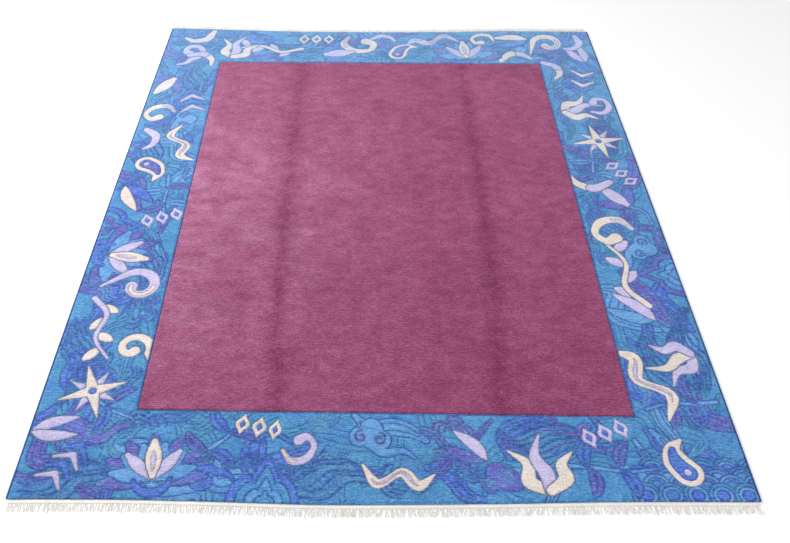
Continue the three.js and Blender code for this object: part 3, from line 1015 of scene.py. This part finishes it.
def overcasting(name, sign, node):
    """Yarn wound round one long edge, a rib for every turn."""
    turns = round(2 * HALF_LENGTH / TURN_PITCH)
    along = np.linspace(-HALF_LENGTH, HALF_LENGTH, 2 * turns + 1)
    wall = on_floor(np.column_stack([np.full(len(along), sign * HALF_WIDTH), along]))
    low, high = wall[0, 1] + BINDING_END_INSET, wall[-1, 1] - BINDING_END_INSET
    wall[:, 1] = np.clip(wall[:, 1], low, high)
    rng = np.random.default_rng(CORD_SEED + sign)
    rise = np.where(np.arange(len(along)) % 2 == 0, -TURN_DIP, rng.uniform(0, TURN_SWELL, len(along)))
    middle = BINDING_SECTION.mean(0)
    rings = []
    for (x, y), swelling in zip(wall, rise):
        section = middle + (BINDING_SECTION - middle) * (1 + swelling / CORD_RADIUS)
        section = np.maximum(section, (0, CORD_LIFT))
        slant = (section[:, 1] - middle[1]) * TURN_SLANT
        rings.append(np.column_stack([x + sign * (GAP + section[:, 0]), y + slant, section[:, 1]]))
    if sign > 0:
        rings = [ring[::-1] for ring in rings]
    points, faces = loft(rings)
    points[:, 1] = np.clip(points[:, 1], low, high)
    piece_from(name, points, faces, finishes["overcasting"], [node], 80)


def end_wall(sign, count):
    """Places along the wall of the pile at one end."""
    across = np.linspace(-HALF_WIDTH, HALF_WIDTH, count)
    return on_floor(np.column_stack([across, np.full(count, sign * HALF_LENGTH)]))


# Height of the end band between two ribs, as a share
BETWEEN_RIBS = 0.88


def end_band(name, sign, node):
    """Narrow woven band of cotton along one end, a rib for every strand."""
    wall = end_wall(sign, 2 * sizes().strands + 1)
    rib = np.where(np.arange(len(wall)) % 2 == 0, BETWEEN_RIBS, 1.0)
    rings = [
        np.column_stack([
            np.full(len(BAND_SECTION), x),
            y + sign * (GAP + BAND_WIDTH * BAND_SECTION[:, 0]),
            BAND_SECTION[:, 1] * MILLIMETRE * height,
        ])
        for (x, y), height in zip(wall, rib)
    ]
    if sign > 0:
        rings = [ring[::-1] for ring in rings]
    points, faces = loft(rings)
    piece_from(name, points, [face[::-1] for face in faces], finishes["cotton"], [node], 80)


# Strands of the fringe: steps along one, its root inside the band, its height above the floor,
# the turns of its two plies, and how far it leans and kinks
STRAND_STEPS = 9
STRAND_ROOT = 0.002
STRAND_LIFT = 0.00005
STRAND_TURNS = 2.2
LEAN_DRIFT = 0.006
LEAN_SPREAD = 0.0028
KINK_SPREAD = 0.0016
PLY_SIDES = 5
PLY_RADIUS = 0.00095
PLY_OFFSET = 0.00085
FRINGE_SEED = 40


def fringe_strands(name, sign, node):
    """Two-ply warp ends lying on the floor, each with its own lean and kink."""
    count = sizes().strands
    wall = end_wall(sign, count + 2)[1:-1]
    rng = np.random.default_rng(FRINGE_SEED + sign)
    position = np.arange(count)
    drift = LEAN_DRIFT * np.sin(position * 0.21 + sign) * np.sin(position * 0.047)
    lean = drift + rng.normal(0, LEAN_SPREAD, count)
    kink = rng.normal(0, KINK_SPREAD, count)
    length = sizes().fringe_length * rng.uniform(0.86, 1.1, count)
    t = np.linspace(0, 1, STRAND_STEPS + 1)
    reach = GAP + BAND_WIDTH - STRAND_ROOT + (length[:, None] + STRAND_ROOT) * t
    middle = np.empty((count, len(t), 3))
    middle[:, :, 0] = wall[:, None, 0] + lean[:, None] * t + kink[:, None] * np.sin(2 * np.pi * t)
    middle[:, :, 1] = wall[:, None, 1] + sign * reach
    middle[:, :, 2] = PLY_RADIUS + PLY_OFFSET + STRAND_LIFT
    phase = rng.uniform(0, 2 * np.pi, count)
    twist = phase[:, None] + 2 * np.pi * STRAND_TURNS * t
    spread = PLY_OFFSET * np.interp(t, [0, 0.8, 1], [1, 1, 1.9])
    around = 2 * np.pi * np.arange(PLY_SIDES) / PLY_SIDES
    ring = np.stack([np.cos(around), np.zeros(PLY_SIDES), np.sin(around)], -1)
    fullness = PLY_RADIUS * np.interp(t, [0, 0.85, 1], [1, 1, 0.55])
    plies = []
    for half_turn in (0, np.pi):
        side_step = np.cos(twist + half_turn) * spread
        rise = np.sin(twist + half_turn) * PLY_OFFSET
        centre = middle + np.stack([side_step, np.zeros_like(side_step), rise], -1)
        plies.append(centre[:, :, None, :] + ring[None, None] * fullness[None, :, None, None])
    points = np.stack(plies, 1).reshape(-1, 3)
    index = np.arange(len(points)).reshape(-1, len(t), PLY_SIDES)
    shifted = np.roll(index, -1, 2)
    quads = np.stack([index[:, :-1], shifted[:, :-1], shifted[:, 1:], index[:, 1:]], -1).reshape(-1, 4)
    ends = np.concatenate([index[:, 0, ::-1], index[:, -1]])
    if sign > 0:
        quads, ends = quads[:, ::-1], ends[:, ::-1]
    faces = [*quads.tolist(), *ends.tolist()]
    piece_from(name, points, faces, finishes["cotton"], [node], 80)


# Finishes

# Pitch in metres of the wave texture's bands at a scale of 1
WAVE_SPAN = 0.314159
# Pitches of the ribs that the finishes show
KNOT_ROW_PITCH = 0.0085
BACK_ROW_PITCH = 0.003
BACK_COLUMN_PITCH = 0.0035
WEFT_PITCH = 0.0022


def set_inputs(node, values):
    for socket, value in values.items():
        node.inputs[socket].default_value = value


class Finish:
    """A node material for wool or cotton, with a few short ways to add its nodes."""

    SPECULAR = 0.15
    SHEEN_ROUGHNESS = 0.45
    BUMP_STRENGTH = 0.8

    def __init__(self, name, roughness, sheen, sheen_tint):
        self.material = bpy.data.materials.new(name)
        self.material.use_nodes = True
        self.tree = self.material.node_tree
        self.shader = self.tree.nodes["Principled BSDF"]
        set_inputs(self.shader, {
            "Roughness": roughness, "Specular IOR Level": self.SPECULAR, "Sheen Weight": sheen,
            "Sheen Roughness": self.SHEEN_ROUGHNESS, "Sheen Tint": (*sheen_tint, 1),
        })
        self.place = self.add("ShaderNodeTexCoord").outputs["Object"]

    def add(self, kind, inputs=(), **settings):
        """A new node with its settings, each input linked to a socket or set to a value."""
        node = self.tree.nodes.new(kind)
        for key, value in settings.items():
            setattr(node, key, value)
        for key, value in dict(inputs).items():
            if isinstance(value, bpy.types.NodeSocket):
                self.tree.links.new(value, node.inputs[key])
            else:
                node.inputs[key].default_value = value
        return node

    def noise(self, scale, stretch=(1, 1, 1), detail=2.0, distortion=0.0):
        """Noise whose grain is one metre over its scale and, along each axis, over its stretch."""
        place = self.add("ShaderNodeMapping", {"Vector": self.place, "Scale": stretch}).outputs["Vector"]
        inputs = {"Vector": place, "Scale": scale, "Detail": detail, "Distortion": distortion}
        return self.add("ShaderNodeTexNoise", inputs).outputs["Fac"]

    def bands(self, pitch, direction, distortion):
        """Ribs of one pitch, such as rows of knots or turns of yarn."""
        inputs = {
            "Vector": self.place, "Scale": WAVE_SPAN / pitch, "Distortion": distortion,
            "Detail": 1.0, "Detail Scale": 2.0,
        }
        settings = {"wave_type": "BANDS", "bands_direction": direction, "wave_profile": "SIN"}
        return self.add("ShaderNodeTexWave", inputs, **settings).outputs["Fac"]

    def part(self, value, axis):
        return self.add("ShaderNodeSeparateXYZ", {0: value}).outputs[axis]

    def math(self, operation, *values):
        return self.add("ShaderNodeMath", enumerate(values), operation=operation).outputs[0]

    def product(self, *values):
        return reduce(lambda a, b: self.math("MULTIPLY", a, b), values)

    def total(self, *values):
        return reduce(lambda a, b: self.math("ADD", a, b), values)

    def range(self, value, low, high, start=0.3, end=0.7):
        """A value that runs from low to high where the given one runs from start to end."""
        inputs = {"Value": value, "From Min": start, "From Max": end, "To Min": low, "To Max": high}
        return self.add("ShaderNodeMapRange", inputs).outputs["Result"]

    def deepened(self, colour, power):
        """A colour as more or less of its dye would make it, fuller above 1 and paler below."""
        return self.add("ShaderNodeGamma", {"Color": colour, "Gamma": power}).outputs["Color"]

    def scaled(self, colour, factor):
        inputs = {0: colour, "Scale": factor}
        return self.add("ShaderNodeVectorMath", inputs, operation="SCALE").outputs["Vector"]

    def blended(self, factor, a, b):
        return self.add("ShaderNodeMix", {"Factor": factor, 6: a, 7: b}, data_type="RGBA").outputs[2]

    def attribute(self, name, output="Fac"):
        return self.add("ShaderNodeAttribute", attribute_name=name).outputs[output]

    def finish(self, colour, height, depth):
        """The finished material, its relief as a bump of some depth in metres."""
        inputs = {"Height": height, "Distance": depth, "Strength": self.BUMP_STRENGTH}
        normal = self.add("ShaderNodeBump", inputs).outputs["Normal"]
        self.tree.links.new(colour, self.shader.inputs["Base Color"])
        self.tree.links.new(normal, self.shader.inputs["Normal"])
        return self.material


def wool(finish, colour, contrast):
    """Cut pile: rows of knots across the rug, streaks of dye, and soft patches where the pile leans."""
    def varied(value, share):
        return finish.range(value, 1 - share * contrast, 1 + share * contrast)

    streaks = finish.noise(1.0, (46, 170, 1), 4.0)
    broad = finish.noise(1.0, (14, 26, 1), 3.0)
    tufts = finish.noise(170, detail=3.0)
    fibres = finish.noise(640)
    patches = finish.noise(1.0, (2.6, 3.4, 1), 3.0, 0.6)
    rows = finish.bands(KNOT_ROW_PITCH, "Y", 1.2)
    tone = finish.product(
        varied(streaks, 1), finish.range(patches, 0.93, 1.08), varied(broad, 0.6), varied(tufts, 1.3),
        finish.range(rows, 1 - contrast * 0.35, 1 + contrast * 0.25, 0, 1), varied(fibres, 0.7),
    )
    height = finish.total(
        finish.product(tufts, 0.7), finish.product(rows, 0.35),
        finish.product(streaks, 0.4), finish.product(fibres, 0.4),
    )
    dyed = finish.deepened(colour, finish.range(tone, 1.3, 0.85, 0.4, 1.3))
    return finish.scaled(dyed, finish.range(tone, 0.7, 1.15, 0.4, 1.3)), height


def field_finish():
    """Rose purple wool, with painted sheen that makes it pale towards the left side, painted shade that
    makes it darker in the creases, and painted light towards the far end.
    """
    finish = Finish("field wool", 0.9, 0.24, (0.95, 0.8, 0.88))
    base = (*yarns().field, 1)
    # Colour of the painted shade in the creases: the field's yarn raised to a power, fuller and darker
    crease_shade_colour = (*(value ** 1.28 for value in yarns().field), 1)
    across, along = finish.part(finish.place, "X"), finish.part(finish.place, "Y")
    from_middle = finish.math("ABSOLUTE", finish.total(along, 0.1))
    # Painted sheen: a paler, greyer rose over the left side and the middle of the length, in blotches, where
    # light catches the pile
    pale = finish.product(
        finish.range(across, 0.15, 0, -0.95, 0.2),
        finish.range(from_middle, 1, 0.3, 0.2, 1.2),
        finish.range(finish.noise(1.0, (7, 9, 1), 4.0, 0.8), 0.35, 1.9),
    )
    sheened = finish.blended(pale, base, (*srgb(203, 160, 188), 1))
    # Painted shade in the creases, made blotchy by noise
    shade_blotches = finish.range(finish.noise(1.0, (9, 7, 1), 3.0), 0.65, 1.15)
    creased = finish.blended(finish.product(finish.attribute("crease"), shade_blotches), sheened, crease_shade_colour)
    colour, height = wool(finish, creased, 0.21)
    mottling = finish.noise(1.0, (6.5, 8, 1), 4.0, 1.2)
    colour = finish.deepened(colour, finish.range(mottling, 1.055, 0.95))
    # Painted light: the field brightens towards the far end and, there, towards the right side
    slant = finish.product(across, finish.total(along, 0.9))
    painted_light = finish.product(
        finish.range(along, 0.94, 1.075, -0.65, 0.35), finish.range(slant, 0.95, 1.05, -1.7, 1.7)
    )
    return finish.finish(finish.scaled(colour, painted_light), height, 0.0016)


def border_finish():
    """Dyed wool whose blues drift into one another, with lighter flecks of painted sheen, painted sheen that
    makes it paler towards the far end, painted shade that makes it darker in the cuts, and painted light
    towards the right.
    """
    finish = Finish("border wool", 0.88, 0.3, (0.8, 0.88, 1.0))
    dyed = finish.attribute("yarn", "Color")
    blue = finish.range(finish.part(dyed, "X"), 1, 0, 0.15, 0.3)
    # The first two blends are dye that drifts; the third lays lighter flecks of painted sheen on the tufts
    for stretch, colour, most in (
        ((7, 16, 1), srgb(66, 108, 196), 0.42),
        ((11, 34, 1), srgb(66, 136, 166), 0.36),
        ((60, 170, 1), srgb(110, 170, 218), 0.42),
    ):
        share = finish.range(finish.noise(1.0, stretch, 3.0, 0.4), 0, most, 0.45, 0.7)
        dyed = finish.blended(finish.product(share, blue), dyed, (*colour, 1))
    # Painted sheen: the border turns paler and bluer towards the far end
    pale = finish.range(finish.part(finish.place, "Y"), 0, 0.26, 0, HALF_LENGTH)
    dyed = finish.blended(pale, dyed, (*srgb(150, 200, 245), 1))
    # Painted shade: the wool turns darker in the carved cuts, where shade falls
    shaded = finish.scaled(dyed, finish.range(finish.attribute("cut"), 1.02, 0.68, 0, 1))
    colour, height = wool(finish, shaded, 0.2)
    # Painted light: the border grows brighter from the left side to the right
    painted_light = finish.range(finish.part(finish.place, "X"), 0.91, 1.06, -HALF_WIDTH, HALF_WIDTH)
    return finish.finish(finish.scaled(colour, painted_light), height, 0.0014)


def back_finish():
    """Flat knots, in the border's pattern or in the field's plain colour, with painted shade between the
    knots.
    """
    finish = Finish("woven back", 0.95, 0.0, (1, 1, 1))
    knots = finish.total(finish.bands(BACK_COLUMN_PITCH, "X", 0.4), finish.bands(BACK_ROW_PITCH, "Y", 0.4))
    plain = (*yarns().field, 1)
    pattern = finish.blended(finish.attribute("plain"), finish.attribute("yarn", "Color"), plain)
    # Painted shade between the knots
    tone = finish.product(finish.range(knots, 0.7, 1.02, 0, 2), finish.range(finish.noise(240), 0.9, 1.08))
    return finish.finish(finish.scaled(pattern, tone), knots, 0.0006)


def overcasting_finish():
    """Plied wool, with painted shade that makes it darker between one turn and the next."""
    finish = Finish("overcasting wool", 0.9, 0.3, (0.7, 0.8, 1.0))
    plies = finish.noise(1.0, (300, 180, 300), 2.0)
    turns = finish.bands(TURN_PITCH, "Y", 0.3)
    tone = finish.product(
        finish.range(plies, 0.84, 1.14), finish.range(finish.noise(14), 0.85, 1.12),
        # Painted shade between one turn and the next
        finish.range(turns, 0.62, 1.12, 0, 1),
    )
    height = finish.total(plies, finish.product(turns, 1.6))
    return finish.finish(finish.scaled(tuple(yarns().overcasting), tone), height, 0.0008)


def cotton_finish():
    """Undyed cotton with a fine weave."""
    finish = Finish("cotton warp", 0.92, 0.15, (1, 1, 1))
    fibres = finish.noise(1.0, (900, 260, 900), 2.0)
    weave = finish.bands(WEFT_PITCH, "Y", 0.6)
    tone = finish.product(finish.range(fibres, 0.9, 1.04), finish.range(finish.noise(20), 0.94, 1.03))
    colour = finish.scaled(tuple(yarns().cotton), tone)
    return finish.finish(colour, finish.total(fibres, weave), 0.0004)


FINISH_MAKERS = {
    "field": field_finish,
    "border": border_finish,
    "back": back_finish,
    "overcasting": overcasting_finish,
    "cotton": cotton_finish,
}
finishes = {}


# Operators, one for each piece or group of like pieces

class RUG_OT_finishes(bpy.types.Operator):
    """Make the materials of wool and cotton"""

    bl_idname = "rug.finishes"
    bl_label = "Wool and Cotton Finishes"

    def execute(self, context):
        for name, maker in FINISH_MAKERS.items():
            finishes[name] = maker()
        return {"FINISHED"}


class RUG_OT_field(bpy.types.Operator):
    """Make the plain field with its two soft creases"""

    bl_idname = "rug.field"
    bl_label = "Plain Field"

    def execute(self, context):
        field_pile()
        return {"FINISHED"}


class RUG_OT_border(bpy.types.Operator):
    """Make the four sides of the carved border"""

    bl_idname = "rug.border"
    bl_label = "Carved Border"

    def execute(self, context):
        cells = sizes().border_cells
        cell = BORDER / cells
        middle, beside = (
            np.linspace(-half, half, round(2 * half / cell) + 1)
            for half in (FIELD_HALF_WIDTH, FIELD_HALF_LENGTH)
        )
        left = np.linspace(-HALF_WIDTH, -FIELD_HALF_WIDTH, cells + 1)
        near = np.linspace(-HALF_LENGTH, -FIELD_HALF_LENGTH, cells + 1)
        whole = np.concatenate([left[:-1], middle, -left[-2::-1]])
        drawing = draw_border()
        border_pile("border_near", whole, near, drawing)
        border_pile("border_right", -left[::-1], beside, drawing)
        border_pile("border_far", whole, -near[::-1], drawing)
        border_pile("border_left", left, beside, drawing)
        return {"FINISHED"}


class RUG_OT_sides(bpy.types.Operator):
    """Wind the overcasting round the two long edges"""

    bl_idname = "rug.sides"
    bl_label = "Side Overcasting"

    def execute(self, context):
        overcasting("overcasting_left", -1, "side_binding_left")
        overcasting("overcasting_right", 1, "side_binding_right")
        return {"FINISHED"}


class RUG_OT_ends(bpy.types.Operator):
    """Make the cotton bands and fringes of the two ends"""

    bl_idname = "rug.ends"
    bl_label = "Bands and Fringes"

    def execute(self, context):
        for place, sign in (("near", -1), ("far", 1)):
            end_band("end_band_" + place, sign, "fringe_" + place)
            fringe_strands("fringe_strands_" + place, sign, "fringe_" + place)
        return {"FINISHED"}


class RUG_OT_back(bpy.types.Operator):
    bl_idname = "rug.back"
    bl_label = "Woven Back"

    def execute(self, context):
        back = woven_back()
        return {"FINISHED"}


CAMERA_PLACE = (-0.0832, -2.6243, 2.3533)
CAMERA_AIM = (0.0369, -0.4742, 0.0)
CAMERA_ROLL = 2.852
CAMERA_LENS = 33.978
CAMERA_SENSOR = 36
FLOOR_HALF = 14.0
FLOOR_Z = -0.0004
FLOOR_PAINT = {"Base Color": (0.95, 0.95, 0.95, 1), "Roughness": 1.0, "Specular IOR Level": 0.0}
STUDIO = {"Color": (1, 1, 1, 1), "Strength": 0.76}
# Rows: name, place, size, power, colour
LIGHTS = (
    ("key", (-3.3, 0.6, 2.7), 1.5, 140, (1.0, 0.985, 0.965)),
    ("fill", (2.5, -3.5, 4.5), 3.5, 60, (0.96, 0.98, 1.0)),
)


def floor_plane():
    """A wide pale floor, just under the rug."""
    corners = [(x * FLOOR_HALF, y * FLOOR_HALF, FLOOR_Z) for x, y in ((-1, -1), (1, -1), (1, 1), (-1, 1))]
    mesh = bpy.data.meshes.new("floor")
    mesh.from_pydata(corners, [], [(0, 1, 2, 3)])
    paint = bpy.data.materials.new("pale floor")
    paint.use_nodes = True
    set_inputs(paint.node_tree.nodes["Principled BSDF"], FLOOR_PAINT)
    mesh.materials.append(paint)
    return shown("floor", mesh)


def studio_world():
    """Even light from all round."""
    world = bpy.data.worlds.new("studio")
    world.use_nodes = True
    set_inputs(world.node_tree.nodes["Background"], STUDIO)
    return world


def area_light(name, place, size, power, colour):
    """A square light that faces the middle of the rug."""
    light = bpy.data.lights.new(name, "AREA")
    light.shape = "SQUARE"
    light.size = size
    light.energy = power
    light.color = colour
    holder = shown(name, light)
    holder.location = place
    holder.rotation_euler = (-Vector(place)).to_track_quat("-Z", "Y").to_euler()


def placed_camera():
    """The camera, aimed at a point on the floor and then rolled."""
    camera = bpy.data.cameras.new("camera")
    camera.lens = CAMERA_LENS
    camera.sensor_width = CAMERA_SENSOR
    look = (Vector(CAMERA_AIM) - Vector(CAMERA_PLACE)).to_track_quat("-Z", "Y").to_matrix().to_4x4()
    roll = Matrix.Rotation(math.radians(CAMERA_ROLL), 4, "Z")
    holder = shown("camera", camera)
    holder.matrix_world = Matrix.Translation(CAMERA_PLACE) @ look @ roll
    return holder


class RUG_OT_stage(bpy.types.Operator):
    """Make the pale floor, the soft light and the camera"""

    bl_idname = "rug.stage"
    bl_label = "Floor, Light and Camera"

    def execute(self, context):
        floor = floor_plane()
        context.scene.world = studio_world()
        for light in LIGHTS:
            area_light(*light)
        context.scene.camera = placed_camera()
        context.scene.view_settings.view_transform = "Standard"
        return {"FINISHED"}


class RUG_PT_panel(bpy.types.Panel):
    """Sidebar panel that lists the rug's parts, sizes and yarns"""

    bl_label = "Carved Wool Rug"
    bl_idname = "RUG_PT_panel"
    bl_space_type = "VIEW_3D"
    bl_region_type = "UI"
    bl_category = "Rug"

    def draw(self, context):
        for operator in OPERATORS:
            self.layout.operator(operator.bl_idname)
        for group in (context.scene.rug_sizes, context.scene.rug_yarns):
            column = self.layout.column()
            for name in group.__annotations__:
                column.prop(group, name)


OPERATORS = (
    RUG_OT_finishes, RUG_OT_field, RUG_OT_border, RUG_OT_sides, RUG_OT_ends, RUG_OT_back, RUG_OT_stage,
)
CLASSES = (RugSizes, RugYarns, *OPERATORS, RUG_PT_panel)


def register():
    for cls in CLASSES:
        bpy.utils.register_class(cls)
    bpy.types.Scene.rug_sizes = PointerProperty(type=RugSizes)
    bpy.types.Scene.rug_yarns = PointerProperty(type=RugYarns)


def unregister():
    del bpy.types.Scene.rug_yarns
    del bpy.types.Scene.rug_sizes
    for cls in reversed(CLASSES):
        bpy.utils.unregister_class(cls)


def main():
    register()
    bpy.ops.rug.finishes()
    bpy.ops.rug.field()
    bpy.ops.rug.border()
    bpy.ops.rug.sides()
    bpy.ops.rug.ends()
    bpy.ops.rug.back()
    bpy.ops.rug.stage()


if __name__ == "__main__":
    main()
